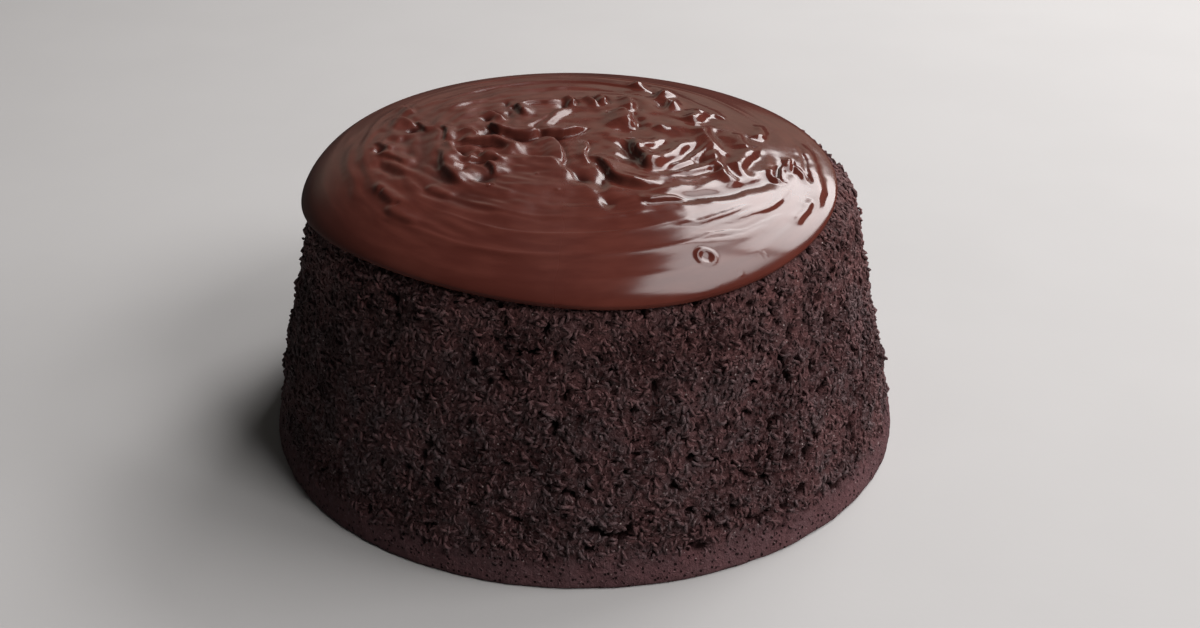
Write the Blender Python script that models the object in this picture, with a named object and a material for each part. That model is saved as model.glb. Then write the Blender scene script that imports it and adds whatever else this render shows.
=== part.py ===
"""A tall round chocolate sponge cake with a thick cap of spread chocolate icing.

The sponge tapers upwards and ends in a rounded shoulder. The icing sits on top,
a little to one side, with a rounded lip that hangs over the shoulder. Long flat
sweeps of a spatula run round its edge, and shorter ones fold its middle.
Units are metres, +Z is up, and the origin is the middle of the sponge's flat base.
The front of the cake faces -Y.
"""

import math
from dataclasses import dataclass

import bpy
import bmesh
import numpy as np
from mathutils import Vector, noise

MM = 0.001

# Sponge
BASE_RADIUS = 92.0 * MM
SIDE_TAPER = 0.22
SPONGE_HEIGHT = 76.8 * MM
SHOULDER_RADIUS = 13.0 * MM
FOOT_HEIGHT = 6.5 * MM
FOOT_STEP = 0.5 * MM
FOOT_ROUNDING = 0.5 * MM
SPONGE_SEGMENTS = 88
SIDE_RINGS = 20
SHOULDER_RINGS = 5
TOP_RING_RADIUS = 55.0 * MM

# Crumb relief of the sponge: amplitude and size of each layer of unevenness
CRUMB_LAYERS = (
    (0.7 * MM, 45.0 * MM),
    (0.6 * MM, 14.0 * MM),
    (0.6 * MM, 6.0 * MM),
)
RELIEF_FADE = (3.5 * MM, 8.0 * MM)

# Crags that stand out of the side: direction in degrees, height, reach, half width
CRAGS = (
    (-169, 46 * MM, 0.9 * MM, 4 * MM),
    (-170, 36 * MM, 1.5 * MM, 4 * MM),
    (-168, 25 * MM, 1.4 * MM, 4 * MM),
    (-11, 24 * MM, 1.6 * MM, 4 * MM),
    (-14, 55 * MM, 1.0 * MM, 6 * MM),
    (38, 40 * MM, 1.5 * MM, 5 * MM),
    (104, 28 * MM, 1.4 * MM, 5 * MM),
)

# Icing
ICING_CENTRE = (-3.2 * MM, -1.7 * MM)
ICING_RADIUS = 74.9 * MM
RIM_WAVES = ((2, 1.3 * MM, 82), (3, 1.1 * MM, -162))
ICING_TOP = 86.2 * MM
EDGE_LEVEL = 72.2 * MM
EDGE_POWER = 6.0
DOME_POWER = 4.0
DOME_LEAN = 2.0 * MM
LIP_REACH = 2.6 * MM
LIP_NOSE = 2.0 * MM
LIP_THICKNESS = 3.2 * MM
LIP_STEPS = 4
CLEARANCE = 0.35 * MM
DOME_RINGS = 28
DOME_EDGE = (0.93, 0.96, 0.98, 0.993, 1.0)
UNDERSIDE_INSETS = (1.2 * MM, 2.8 * MM, 5.2 * MM, 8.0 * MM, 13.0 * MM)


@dataclass
class Sweep:
    """One pull of the spatula: a shallow trough with raised lips, in millimetres.

    It runs from start to end, bowed sideways by bow. The trough digs down by depth,
    tilts up to its left by tilt, and pushes up a lip along both sides.
    """

    start: tuple
    end: tuple
    bow: float
    half_width: float
    depth: float
    tilt: float
    lip: float


# Sweeps that fold the middle of the icing, in the order they were made
MIDDLE_SWEEPS = (
    Sweep((-46, 30), (-42, -26), -7, 6.0, 0.9, 0.3, 0.7),
    Sweep((-56, 4), (-54, -30), -4, 3.6, 1.0, -1.0, 1.2),
    Sweep((-60, 14), (-46, 10), 2, 3.0, 0.8, 0.8, 1.0),
    Sweep((-57, -12), (-47, -18), 2, 2.8, 1.2, 0.9, 1.3),
    Sweep((-55, -36), (-44, -46), 2, 2.8, 0.9, 0.8, 1.2),
    Sweep((-44, -30), (-32, -41), 2, 3.0, 0.9, 0.7, 1.0),
    Sweep((-38, -6), (-34, -28), -3, 3.0, 1.3, 1.0, 1.7),
    Sweep((-34, -18), (-20, -26), 2, 3.0, 1.5, -0.8, 1.6),
    Sweep((-36, -4), (-14, -12), 3, 3.2, 1.3, 1.2, 1.8),
    Sweep((-33, 6), (-20, 0), 2, 3.0, 1.0, 0.9, 1.4),
    Sweep((-26, 24), (-12, 14), 2, 3.2, 1.0, 1.0, 1.4),
    Sweep((-8, -34), (4, -46), 4, 4.0, 1.6, 1.0, 1.4),
    Sweep((-12, -6), (-4, -30), -3, 5.0, 1.0, -1.3, 1.6),
    Sweep((2, -6), (2, -28), 1, 4.2, 0.8, -1.6, 1.6),
    Sweep((9, -9), (20, -28), -2, 4.4, 1.2, 1.2, 1.9),
    Sweep((-22, 7), (12, 9), 3, 6.0, 1.4, 1.4, 2.0),
    Sweep((-8, 21), (12, 23), 2, 3.6, 0.8, 0.9, 1.2),
    Sweep((20, -22), (34, -3), -5, 5.0, 1.5, -1.2, 1.9),
    Sweep((16, 20), (34, 12), 3, 4.4, 1.0, 1.0, 1.6),
    Sweep((33, 8), (44, -14), 3, 3.4, 1.2, 1.2, 1.8),
    Sweep((22, -36), (48, -26), -4, 4.6, 0.9, 0.8, 1.3),
    Sweep((46, -6), (54, -26), 3, 3.4, 1.0, 1.0, 1.4),
    Sweep((60, 8), (62, -34), 5, 3.4, 0.7, -0.5, 0.8),
)

# Round sweeps along the icing's edge: radius and direction at the start, and the turn, in degrees
ROUND_SWEEPS = (
    (64 * MM, 40, 150),
    (55 * MM, 10, 130),
    (48 * MM, 60, 95),
    (66 * MM, 175, 130),
    (58 * MM, 205, 110),
    (51 * MM, 190, 120),
    (66 * MM, 300, 90),
)
ROUND_HALF_WIDTH = 4.5 * MM
ROUND_DEPTH = 0.4 * MM
ROUND_LIP = 0.25 * MM
ROUND_STEP = 26

# Points that the spatula pulled up as it lifted: place in millimetres, height, half width
PEAKS = (
    (17, 49, 1.8 * MM, 2.4 * MM),
    (25, 36, 1.5 * MM, 2.8 * MM),
    (27, 24, 1.6 * MM, 2.6 * MM),
    (12, 13, 1.6 * MM, 3.0 * MM),
    (-18, -11, 1.2 * MM, 2.6 * MM),
)
HIGHEST_FOLD = 2.0 * MM
MIDDLE_ROUGHNESS = 0.5 * MM
MIDDLE_ROUGH_SIZE = 9.0 * MM

SHARP_ANGLE = math.radians(50)


def smoothstep(low, high, value):
    """0 below low, 1 above high, and a smooth rise between."""
    t = np.clip((value - low) / (high - low), 0.0, 1.0)
    return t * t * (3.0 - 2.0 * t)


def sponge_profile():
    """Radius and height of the sponge's smooth outline, from its foot up and over its shoulder."""
    start = SPONGE_HEIGHT - SHOULDER_RADIUS
    foot = BASE_RADIUS + FOOT_STEP
    points = [(foot - FOOT_ROUNDING, 0.0), (foot - SIDE_TAPER * FOOT_ROUNDING, FOOT_ROUNDING)]
    points.append((foot - SIDE_TAPER * 0.75 * FOOT_HEIGHT, 0.75 * FOOT_HEIGHT))
    for ring in range(SIDE_RINGS + 1):
        height = FOOT_HEIGHT + (start - FOOT_HEIGHT) * ring / SIDE_RINGS
        points.append((BASE_RADIUS - SIDE_TAPER * height, height))
    middle = BASE_RADIUS - SIDE_TAPER * start - SHOULDER_RADIUS
    for ring in range(1, SHOULDER_RINGS + 1):
        angle = math.radians(90) * ring / SHOULDER_RINGS
        points.append((middle + SHOULDER_RADIUS * math.cos(angle), start + SHOULDER_RADIUS * math.sin(angle)))
    return np.array(points)


def under_icing(radius):
    """Height of the icing's underside, and the sine of the sponge's tilt there, at a distance from the axis."""
    start = SPONGE_HEIGHT - SHOULDER_RADIUS
    middle = BASE_RADIUS - SIDE_TAPER * start - SHOULDER_RADIUS
    outer = SHOULDER_RADIUS + CLEARANCE
    tilt = np.clip((np.asarray(radius) - middle) / outer, 0.0, 1.0)
    return start + outer * np.sqrt(1.0 - tilt**2), tilt


def lip_point(tilt, step):
    """How far the rounded lip reaches out and up from where it meets the sponge, at a share of its way round.

    It sets out down the sponge's slope and ends where it points straight up.
    """
    level = np.sqrt(1.0 - tilt**2)
    turn = step * (math.pi - np.arctan2(level, tilt))
    down_slope = LIP_NOSE * np.sin(turn)
    off_slope = LIP_THICKNESS / 2 * (1.0 - np.cos(turn))
    return down_slope * level + off_slope * tilt, off_slope * level - down_slope * tilt


def rim_radius(angle):
    """Distance of the icing's edge from the icing's centre, in a direction."""
    reach = np.full_like(np.asarray(angle, float), ICING_RADIUS)
    for order, size, phase in RIM_WAVES:
        reach = reach + size * np.cos(order * angle + math.radians(phase))
    return reach


def contact_radius(angle):
    """Distance from the cake's axis, in a direction from that axis, at which the icing meets the sponge."""
    around = np.linspace(-math.pi, math.pi, 361)
    reach = rim_radius(around) - LIP_REACH
    x = ICING_CENTRE[0] + reach * np.cos(around)
    y = ICING_CENTRE[1] + reach * np.sin(around)
    seen = np.arctan2(y, x)
    order = np.argsort(seen)
    return np.interp(angle, seen[order], np.hypot(x, y)[order], period=2 * math.pi)


def uneven(points, layers):
    """Sum of noise layers at each point, each layer given by its amplitude and size."""
    total = np.zeros(len(points))
    for number, (amplitude, size) in enumerate(layers):
        shift = Vector((7.3 * number, 2.9, 5.1))
        values = [noise.noise(Vector(point) / size + shift) for point in points]
        total += amplitude * np.array(values)
    return total


def ring_angles(count):
    """Evenly spaced directions round a ring, in radians."""
    return np.arange(count) * 2 * math.pi / count


def join_rings(faces, lower, upper):
    """Add the band of triangles between two rings of point numbers, which may differ in count."""
    i = j = 0
    while i < len(lower) or j < len(upper):
        a, b = lower[i % len(lower)], upper[j % len(upper)]
        step_lower = j >= len(upper) or (i < len(lower) and (i + 0.5) * len(upper) <= (j + 0.5) * len(lower))
        if step_lower:
            i += 1
            faces.append((a, lower[i % len(lower)], b))
        else:
            j += 1
            faces.append((a, upper[j % len(upper)], b))


def skin(rings):
    """Points and triangles of a closed body made of rings, from its lowest centre point to its highest."""
    points = []
    faces = []
    numbers = []
    for ring in rings:
        numbers.append(list(range(len(points), len(points) + len(ring))))
        points.extend(ring)
    for lower, upper in zip(numbers, numbers[1:]):
        if len(lower) == 1:
            for k in range(len(upper)):
                faces.append((lower[0], upper[(k + 1) % len(upper)], upper[k]))
        elif len(upper) == 1:
            for k in range(len(lower)):
                faces.append((lower[k], lower[(k + 1) % len(lower)], upper[0]))
        else:
            join_rings(faces, lower, upper)
    return points, faces


def sponge_rings():
    """Rings of points of the sponge, from the middle of its base to the middle of its top."""
    profile = sponge_profile()
    steps = np.hypot(*np.diff(profile, axis=0).T)
    along = np.concatenate(([0.0], np.cumsum(steps)))
    angles = ring_angles(SPONGE_SEGMENTS)
    edge = np.interp(contact_radius(angles), profile[::-1, 0], along[::-1])
    rings = [[(0.0, 0.0, 0.0)]]
    half = ring_angles(SPONGE_SEGMENTS // 4)
    rings.append([(BASE_RADIUS / 2 * math.cos(a), BASE_RADIUS / 2 * math.sin(a), 0.0) for a in half])
    for number, (radius, height) in enumerate(profile):
        points = np.stack([radius * np.cos(angles), radius * np.sin(angles), np.full_like(angles, height)], 1)
        relief = uneven(points, CRUMB_LAYERS)
        for direction, crag_height, reach, half_width in CRAGS:
            turn = np.angle(np.exp(1j * (angles - math.radians(direction)))) * radius
            far = (turn**2 + (height - crag_height) ** 2) / half_width**2
            relief += reach * np.exp(-far)
        relief *= 1.0 - smoothstep(-RELIEF_FADE[1], -RELIEF_FADE[0], along[number] - edge)
        relief *= 0.35 + 0.65 * smoothstep(0.5 * FOOT_HEIGHT, 1.5 * FOOT_HEIGHT, height)
        out = radius + relief
        rings.append(list(zip(out * np.cos(angles), out * np.sin(angles), points[:, 2])))
    inner = ring_angles(SPONGE_SEGMENTS // 2)
    rings.append([(TOP_RING_RADIUS * math.cos(a), TOP_RING_RADIUS * math.sin(a), SPONGE_HEIGHT) for a in inner])
    rings.append([(0.0, 0.0, SPONGE_HEIGHT)])
    return rings


def pull(height, across, ends, half_width, depth, tilt, lip):
    """Height of the icing after one pull of the spatula over it."""
    side = np.abs(across) / half_width
    inside = (1.0 - smoothstep(0.75, 1.05, side)) * ends
    trough = -depth + tilt * across / half_width
    raised = lip * np.exp(-(((side - 1.05) * 2.6) ** 2)) * ends
    return height * (1.0 - inside) + trough * inside + raised


def icing_relief(x, y):
    """Height of the spread icing over its smooth dome, at places given in metres."""
    places = np.stack([x, y, np.zeros_like(x)], 1)
    from_middle = np.hypot(x - ICING_CENTRE[0], y - ICING_CENTRE[1])
    rough = uneven(places, ((MIDDLE_ROUGHNESS, MIDDLE_ROUGH_SIZE),))
    height = rough * (1.0 - smoothstep(40 * MM, 60 * MM, from_middle))
    around = np.degrees(np.arctan2(y - ICING_CENTRE[1], x - ICING_CENTRE[0]))
    for radius, start, turn in ROUND_SWEEPS:
        travel = (around - start) % 360
        ends = smoothstep(0, ROUND_STEP, travel) * (1.0 - smoothstep(turn - ROUND_STEP, turn, travel))
        height = pull(height, from_middle - radius, ends, ROUND_HALF_WIDTH, ROUND_DEPTH, 0.0, ROUND_LIP)
    for sweep in MIDDLE_SWEEPS:
        start = np.array(sweep.start) * MM
        run = np.array(sweep.end) * MM - start
        length = math.hypot(*run)
        ahead = run / length
        along = ((x - start[0]) * ahead[0] + (y - start[1]) * ahead[1]) / length
        sideways = (y - start[1]) * ahead[0] - (x - start[0]) * ahead[1]
        across = sideways - sweep.bow * MM * 4 * along * (1.0 - along)
        ends = smoothstep(-0.06, 0.1, along) * (1.0 - smoothstep(0.92, 1.04, along))
        height = pull(
            height, across, ends, sweep.half_width * MM, sweep.depth * MM, sweep.tilt * MM, sweep.lip * MM
        )
    for peak_x, peak_y, rise, half_width in PEAKS:
        far = ((x - peak_x * MM) ** 2 + (y - peak_y * MM) ** 2) / half_width**2
        height = height + rise * np.exp(-far)
    return np.where(height > 0, HIGHEST_FOLD * np.tanh(height / HIGHEST_FOLD), height)


def icing_rings():
    """Rings of points of the icing, from the middle of its underside, round its lip, to its top."""
    count = 6 * DOME_RINGS
    rings = [[(*ICING_CENTRE, SPONGE_HEIGHT + CLEARANCE)]]
    rings.append(edge_ring(-ICING_RADIUS / 2, 0.0, count // 6))
    for inset in reversed(UNDERSIDE_INSETS):
        rings.append(edge_ring(-inset, 0.0, count // 2))
    for step in range(LIP_STEPS):
        rings.append(edge_ring(0.0, step / LIP_STEPS, count))
    for share in reversed(DOME_EDGE):
        rings.append(dome_ring(share, count))
    for ring in range(DOME_RINGS - 1, 0, -1):
        rings.append(dome_ring(DOME_EDGE[0] * ring / DOME_RINGS, 6 * ring))
    rings.append(dome_ring(0.0, 1))
    return rings


def edge_ring(inset, step, count):
    """One ring of the icing's underside at an inset from where it meets the sponge, or of its lip at a step."""
    angles = ring_angles(count)
    reach = rim_radius(angles) - LIP_REACH + inset
    centre_x, centre_y = ICING_CENTRE
    from_axis = np.hypot(centre_x + reach * np.cos(angles), centre_y + reach * np.sin(angles))
    height, tilt = under_icing(from_axis)
    out, rise = lip_point(tilt, step)
    x = centre_x + (reach + out) * np.cos(angles)
    y = centre_y + (reach + out) * np.sin(angles)
    return list(zip(x, y, height + rise))


def dome_ring(share, count):
    """One ring of the icing's upper side, at a share of the way from its middle to its rim."""
    rim = np.array(edge_ring(0.0, 1.0, count))
    x = ICING_CENTRE[0] + share * (rim[:, 0] - ICING_CENTRE[0])
    y = ICING_CENTRE[1] + share * (rim[:, 1] - ICING_CENTRE[1])
    level = EDGE_LEVEL + (rim[:, 2] - EDGE_LEVEL) * share**EDGE_POWER
    height = level + (ICING_TOP - level) * math.sqrt(1.0 - share**DOME_POWER)
    height = height - DOME_LEAN * (x - ICING_CENTRE[0]) / ICING_RADIUS * (1.0 - share**4)
    height = height + icing_relief(x, y) * (1.0 - share**12)
    return list(zip(x, y, height))


def make_material(name, colour, roughness, coat):
    """A Principled material of one colour."""
    material = bpy.data.materials.new(name)
    material.use_nodes = True
    shader = material.node_tree.nodes["Principled BSDF"]
    shader.inputs["Base Color"].default_value = (*colour, 1.0)
    shader.inputs["Roughness"].default_value = roughness
    shader.inputs["Metallic"].default_value = 0.0
    shader.inputs["Coat Weight"].default_value = coat
    material.diffuse_color = (*colour, 1.0)
    return material


def make_object(name, rings, material):
    """A named object whose mesh is the closed skin over the rings, shaded smooth."""
    points, faces = skin(rings)
    mesh = bpy.data.meshes.new(name)
    mesh.from_pydata([tuple(map(float, point)) for point in points], [], faces)
    body = bmesh.new()
    body.from_mesh(mesh)
    bmesh.ops.recalc_face_normals(body, faces=body.faces)
    body.to_mesh(mesh)
    body.free()
    mesh.shade_smooth()
    mesh.set_sharp_from_angle(angle=SHARP_ANGLE)
    mesh.materials.append(material)
    made = bpy.data.objects.new(name, mesh)
    bpy.context.scene.collection.objects.link(made)
    return made


def main():
    """Clear the scene and make the cake."""
    for old in list(bpy.data.objects):
        bpy.data.objects.remove(old, do_unlink=True)
    sponge_brown = make_material("sponge_brown", (0.030, 0.016, 0.014), 0.9, 0.0)
    icing_brown = make_material("icing_brown", (0.105, 0.034, 0.022), 0.3, 0.5)
    make_object("sponge", sponge_rings(), sponge_brown)
    make_object("icing", icing_rings(), icing_brown)


main()
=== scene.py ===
"""Looks of a tall round chocolate sponge cake with a thick cap of spread chocolate icing.

The sponge is a closed body with an open, pitted crumb, covered in thousands of short
worm-like crumbs. The icing is one smooth dome, folded by pulls of a spatula. All sizes
are in millimetres unless a name says otherwise, and every mesh is made in metres.
"""

import itertools
import logging
import math
from dataclasses import dataclass, field
from enum import Enum
from typing import Iterable, Sequence

import bmesh
import bpy
import numpy as np
from mathutils import Euler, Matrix, Quaternion, Vector, noise


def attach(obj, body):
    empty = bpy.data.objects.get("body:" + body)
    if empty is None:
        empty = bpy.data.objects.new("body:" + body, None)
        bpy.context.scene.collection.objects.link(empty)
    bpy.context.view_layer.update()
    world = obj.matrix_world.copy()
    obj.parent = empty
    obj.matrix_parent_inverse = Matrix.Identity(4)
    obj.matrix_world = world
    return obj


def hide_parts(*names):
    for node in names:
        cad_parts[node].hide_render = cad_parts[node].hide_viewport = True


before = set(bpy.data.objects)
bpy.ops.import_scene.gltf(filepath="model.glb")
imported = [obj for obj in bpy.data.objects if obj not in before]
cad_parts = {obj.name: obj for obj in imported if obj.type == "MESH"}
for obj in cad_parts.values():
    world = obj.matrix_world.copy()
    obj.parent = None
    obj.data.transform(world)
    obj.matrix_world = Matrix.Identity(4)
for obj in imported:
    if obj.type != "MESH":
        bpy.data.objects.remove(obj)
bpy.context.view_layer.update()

MM = 0.001
BODY = "root"
LOG = logging.getLogger("cake")

Colour = tuple[float, float, float]


class Slot(Enum):
    """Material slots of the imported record."""

    SPONGE = "sponge"
    ICING = "icing"


def smoothstep(low: float, high: float, value: np.ndarray) -> np.ndarray:
    """A smooth rise from 0 where a value is at most low to 1 where it is at least high."""
    t = np.clip((value - low) / (high - low), 0.0, 1.0)
    return t * t * (3.0 - 2.0 * t)


def ring_angles(count: int) -> np.ndarray:
    """Evenly spaced directions round a ring, in radians."""
    return np.arange(count) * 2 * math.pi / count


def level_ring(radius: float, count: int, height: float = 0.0) -> np.ndarray:
    """Points of a level circle round the cake's axis, in millimetres."""
    angles = ring_angles(count)
    return np.stack([radius * np.cos(angles), radius * np.sin(angles), 0 * angles + height], 1)


# Numbers that turn a cell's place and a seed into a random slope
CELL_PRIMES = np.array([73856093, 19349663, 83492791])
MIXER = 1274126177
SEED_STRIDE = 40503
SEED_OFFSET = 13.7
LEAN_BITS = (7, 17, 27)
LEAN_MASK = 1023
GRAIN_GAIN = 1.5

# How far apart the noise layers of the solid model are drawn
LAYER_STEP = 7.3
LAYER_PLACE = (2.9, 5.1)


@dataclass(frozen=True)
class Grain:
    """Smooth random unevenness whose bumps have one size.

    Attributes:
        size: distance between bumps, in millimetres.
        seed: which pattern is drawn.
    """

    size: float
    seed: int

    def at(self, points: np.ndarray) -> np.ndarray:
        """Value of the unevenness at points.

        Args:
            points: array of shape (n, 3), in millimetres.

        Returns:
            Array of n values, from about -1 to 1.
        """
        cell = points / self.size + SEED_OFFSET * self.seed
        corner = np.floor(cell).astype(np.int64)
        part = cell - corner
        fade = part**3 * (part * (part * 6.0 - 15.0) + 10.0)
        total = np.zeros(len(points))
        for offset in itertools.product((0, 1), repeat=3):
            step = np.array(offset)
            key = (corner + step) @ CELL_PRIMES
            key = (key ^ (key >> 13)) * MIXER + self.seed * SEED_STRIDE
            lean = [((key >> shift) & LEAN_MASK) / (LEAN_MASK / 2) - 1.0 for shift in LEAN_BITS]
            slope = sum(lean[axis] * (part[:, axis] - step[axis]) for axis in range(3))
            total += slope * np.prod(np.where(step == 1, fade, 1.0 - fade), axis=1)
        return total * GRAIN_GAIN


def plain_noise(points: np.ndarray, layers: Iterable[tuple[float, float]]) -> np.ndarray:
    """Sum of the noise layers that also shape the solid model.

    Args:
        points: array of shape (n, 3), in millimetres.
        layers: amplitude and size of each layer.

    Returns:
        Array of n heights, in millimetres.
    """
    total = np.zeros(len(points))
    for number, (amplitude, size) in enumerate(layers):
        shift = Vector((LAYER_STEP * number, *LAYER_PLACE))
        total += amplitude * np.array([noise.noise(Vector(point) / size + shift) for point in points])
    return total


# Node trees


class Link:
    """One output of a node tree, which takes part in sums like a number."""

    def __init__(self, tree: "Tree", socket: bpy.types.NodeSocket) -> None:
        """Keep the socket and the tree that it belongs to."""
        self.tree = tree
        self.socket = socket

    def beside(self, name: str) -> "Link":
        """Another output of the same node."""
        return Link(self.tree, self.socket.node.outputs[name])

    def math(self, operation: str, *others: "Link | float") -> "Link":
        """This value and others put through a Math node."""
        return self.tree.make("ShaderNodeMath", dict(enumerate((self, *others))), operation=operation)

    def __add__(self, other: "Link | float") -> "Link":
        """Sum."""
        return self.math("ADD", other)

    __radd__ = __add__

    def __mul__(self, other: "Link | float") -> "Link":
        """Product."""
        return self.math("MULTIPLY", other)

    __rmul__ = __mul__

    def __sub__(self, other: "Link | float") -> "Link":
        """Difference."""
        return self.math("SUBTRACT", other)

    def __rsub__(self, other: float) -> "Link":
        """Difference from a number."""
        return self.tree.make("ShaderNodeMath", {0: other, 1: self}, operation="SUBTRACT")

    def __truediv__(self, other: "Link | float") -> "Link":
        """Quotient."""
        return self.math("DIVIDE", other)

    def clamped(self) -> "Link":
        """The value kept between 0 and 1."""
        return self.tree.make("ShaderNodeClamp", {"Value": self})

    def step(self, low: float, high: float) -> "Link":
        """A smooth rise from 0 at low to 1 at high."""
        inputs = {"Value": self, "From Min": low, "From Max": high}
        return self.tree.make("ShaderNodeMapRange", inputs, interpolation_type="SMOOTHSTEP")


class Tree:
    """A node tree that is being built."""

    def __init__(self, group: bpy.types.NodeTree) -> None:
        """Keep Blender's own tree."""
        self.group = group

    def plug(self, socket: bpy.types.NodeSocket, value: "Link | float | Sequence[float]") -> None:
        """Link a socket, or set its own value.

        Args:
            socket: an input of a node.
            value: what it gets.
        """
        if isinstance(value, Link):
            self.group.links.new(value.socket, socket)
        elif isinstance(value, tuple) and socket.type == "RGBA":
            socket.default_value = (*value, 1.0)
        else:
            socket.default_value = value

    def make(self, kind: str, inputs: dict, output: int | str = 0, **settings: str) -> Link:
        """Add any node.

        Args:
            kind: Blender's name of the node type.
            inputs: a number, colour or link for each socket's name or number.
            output: name or number of the wanted output.
            settings: the node's properties, which are set first.

        Returns:
            That output, ready for more sums.
        """
        node = self.group.nodes.new(kind)
        for key, value in settings.items():
            setattr(node, key, value)
        for key, value in inputs.items():
            self.plug(node.inputs[key], value)
        return Link(self, node.outputs[output])


class FinishTree(Tree):
    """The node tree of one Principled material."""

    def __init__(self, name: str) -> None:
        """Make a material that has only its shader and output.

        Args:
            name: of the material.
        """
        self.material = bpy.data.materials.new(name)
        self.material.use_nodes = True
        super().__init__(self.material.node_tree)

    def place(self) -> Link:
        """Where the surface is, in metres, in the object's own frame."""
        return self.make("ShaderNodeTexCoord", {}, "Object")

    def axis(self, where: Link, name: str) -> Link:
        """One coordinate of a place."""
        return self.make("ShaderNodeSeparateXYZ", {0: where}, name)

    def attribute(self, name: str) -> Link:
        """A number that the mesh holds for each point."""
        return self.make("ShaderNodeAttribute", {}, "Fac", attribute_name=name)

    def noise(self, where: Link, size: float, detail: float = 2.0, distortion: float = 0.0) -> Link:
        """Noise from 0 to 1 whose bumps are size millimetres wide."""
        inputs = {"Vector": where, "Scale": 1.0 / (size * MM), "Detail": detail, "Distortion": distortion}
        return self.make("ShaderNodeTexNoise", inputs, "Fac")

    def cells(self, where: Link, size: float) -> Link:
        """Distance from the middle of random cells that are size millimetres wide."""
        return self.make("ShaderNodeTexVoronoi", {"Vector": where, "Scale": 1.0 / (size * MM)}, "Distance")

    def mix(self, share: "Link | float", first: "Link | Colour", second: "Link | Colour") -> Link:
        """A colour between two others."""
        inputs = {"Factor": share, "A": first, "B": second}
        return self.make("ShaderNodeMix", inputs, "Result", data_type="RGBA")

    def bump(self, height: Link, depth: float, under: Link | None = None) -> Link:
        """A normal bent by a height from 0 to 1, whose full depth is given in millimetres."""
        inputs = {"Height": height, "Distance": depth * MM, "Strength": 1.0}
        return self.make("ShaderNodeBump", inputs | ({"Normal": under} if under else {}), "Normal")

    def finish(
        self, base: Link, roughness: "Link | float", normal: Link, shine: float
    ) -> bpy.types.Material:
        """Feed the shader.

        Args:
            base: colour.
            roughness: how matt the surface is.
            normal: which way it faces.
            shine: strength of its reflection.

        Returns:
            The finished material.
        """
        inputs = self.group.nodes["Principled BSDF"].inputs
        self.plug(inputs["Base Color"], base)
        self.plug(inputs["Roughness"], roughness)
        self.plug(inputs["Normal"], normal)
        self.plug(inputs["Specular IOR Level"], shine)
        return self.material


@dataclass(frozen=True)
class CrumbFinish:
    """Dark, open chocolate crumb: matt, mottled, and redder towards the foot, with painted highlights on a
    few specks and, where it has pores, painted shade in them.

    Attributes:
        name: the material's name.
        dark: colour of the duller ridges, and, darker still, of the painted shade in the pores.
        red: colour of the redder ridges.
        grey: colour of the greyer ridges.
        glint: pale colour painted on a few specks as painted highlights.
        foot: colour of the band that lay against the tin.
        foot_height: top of that band, in millimetres.
        foot_share: how much of its colour shows.
        top: colour of the moister crumb near the icing.
        top_height: height that this crumb begins at, in millimetres.
        top_rise: height over which its colour comes in, in millimetres.
        top_share: how much of its colour shows.
        roughness: of the crumb.
        polish: how much glossier its specks are.
        shine: strength of its reflection.
        grain: depth of the finest bumps, in millimetres.
        patch_size: of the darker patches, in millimetres.
        hue_size: of the redder and greyer patches, in millimetres.
        ridge_size: of the fine mottling, in millimetres.
        speck_size: of the glossier specks, in millimetres.
        glint_size: from one painted highlight speck to the next, in millimetres.
        hole_size: from one fine hole to the next, in millimetres.
        pit: name of the attribute that says where pores lie and shade is painted into them, or "" for
            crumbs, which have none.
    """

    name: str
    dark: Colour = (0.0360, 0.0130, 0.0130)
    red: Colour = (0.1400, 0.0740, 0.0750)
    grey: Colour = (0.1260, 0.0870, 0.0900)
    glint: Colour = (0.32, 0.26, 0.25)
    foot: Colour = (0.1330, 0.0660, 0.0720)
    foot_height: float = 9.0
    foot_share: float = 0.6
    top: Colour = (0.1750, 0.0640, 0.0570)
    top_height: float = 42.0
    top_rise: float = 30.0
    top_share: float = 0.35
    roughness: float = 0.72
    polish: float = 0.18
    shine: float = 0.5
    grain: float = 0.25
    patch_size: float = 14.0
    hue_size: float = 7.0
    ridge_size: float = 1.3
    speck_size: float = 0.45
    glint_size: float = 2.6
    hole_size: float = 1.5
    pit: str = ""

    def material(self) -> bpy.types.Material:
        """Build the material.

        Returns:
            The finished material.
        """
        tree = FinishTree(self.name)
        where = tree.place()
        height = tree.axis(where, "Z")
        patches = tree.noise(where, self.patch_size, 3.0)
        hues = tree.noise(where, self.hue_size, 2.0)
        fine = tree.noise(where, self.ridge_size, 4.0, 0.6)
        specks = tree.noise(where, self.speck_size, 2.0)
        ridge = (fine * 0.65 + patches * 0.35).step(0.36, 0.60)
        base = tree.mix(ridge, self.dark, tree.mix(hues.step(0.40, 0.60), self.grey, self.red))
        # Painted highlight: small pale specks at the middles of little cells are painted into the colour
        # as glints.
        dull = tree.cells(where, self.glint_size).step(0.05, 0.11)
        base = tree.mix(1.0 - dull, base, self.glint)
        low = 1.0 - height.step(0.35 * self.foot_height * MM, 1.4 * self.foot_height * MM)
        base = tree.mix(low * self.foot_share, base, self.foot)
        high = height.step(self.top_height * MM, (self.top_height + self.top_rise) * MM) * ridge
        base = tree.mix(high * self.top_share, base, self.top)
        normal = tree.bump(fine, 2.0 * self.grain, tree.bump(specks, self.grain))
        if self.pit:
            # Painted shade: the pores that the mesh marks, and fine round holes, are darkened to a third
            # of the dark colour.
            holes = 1.0 - tree.cells(where, self.hole_size).step(0.16, 0.30)
            painted_hollow_shade = (tree.attribute(self.pit) + holes * 0.85).clamped()
            base = tree.mix(painted_hollow_shade, base, tuple(0.3 * part for part in self.dark))
            normal = tree.bump(1.0 - holes, 2.0 * self.grain, normal)
        gloss = self.roughness - specks.step(0.55, 0.8) * self.polish
        return tree.finish(base, gloss, normal, self.shine)


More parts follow.
